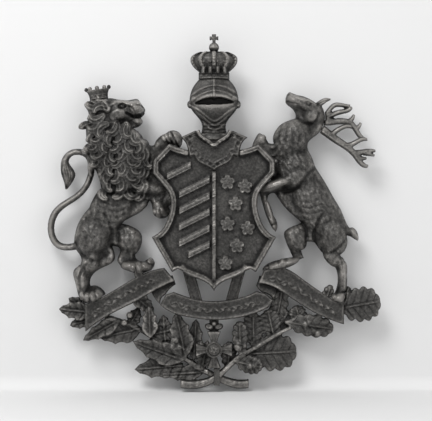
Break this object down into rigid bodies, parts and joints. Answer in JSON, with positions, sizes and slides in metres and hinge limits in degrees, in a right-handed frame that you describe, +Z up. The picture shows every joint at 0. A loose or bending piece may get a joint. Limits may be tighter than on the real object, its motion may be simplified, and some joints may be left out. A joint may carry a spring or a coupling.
{
  "type": "cast iron relief plaque",
  "caption": "Cast iron wall relief: a rimmed shield under a crowned helmet, held by a rearing lion and stag on a folded ribbon with holly and oak branches, made to hang flat on two studs",
  "frame": {"origin": "midway between the two stud holes in the backs of the lion and the stag, on the wall plane", "axes": "+Z up, +Y into the wall, the relief faces -Y, +X to the viewer's right"},
  "size_m": [0.499, 0.043, 0.5294],
  "materials": {
    "blackened_iron": "sand-cast iron, blackened and waxed, satin, with paler worn high points",
    "screw_steel": "plain turned steel, dulled by age"
  },
  "bodies": {
    "root": {"shield": "blackened_iron", "gorget": "blackened_iron", "helmet": "blackened_iron", "helmet_crown": "blackened_iron", "ribbon_left": "blackened_iron", "ribbon_right": "blackened_iron", "ribbon_centre": "blackened_iron", "sash_left": "blackened_iron", "sash_right": "blackened_iron", "lion": "blackened_iron", "lion_coronet": "blackened_iron", "antler_far": "blackened_iron", "antler_near": "blackened_iron", "stag": "blackened_iron", "badge": "blackened_iron", "holly_branch": "blackened_iron", "oak_branch": "blackened_iron", "stem_tie": "blackened_iron", "shield_screws": "screw_steel", "gorget_screws": "screw_steel", "helmet_screws": "screw_steel", "ribbon_screws": "screw_steel", "sash_screws": "screw_steel", "branch_screws": "screw_steel", "badge_screws": "screw_steel"}
  },
  "joints": []
}
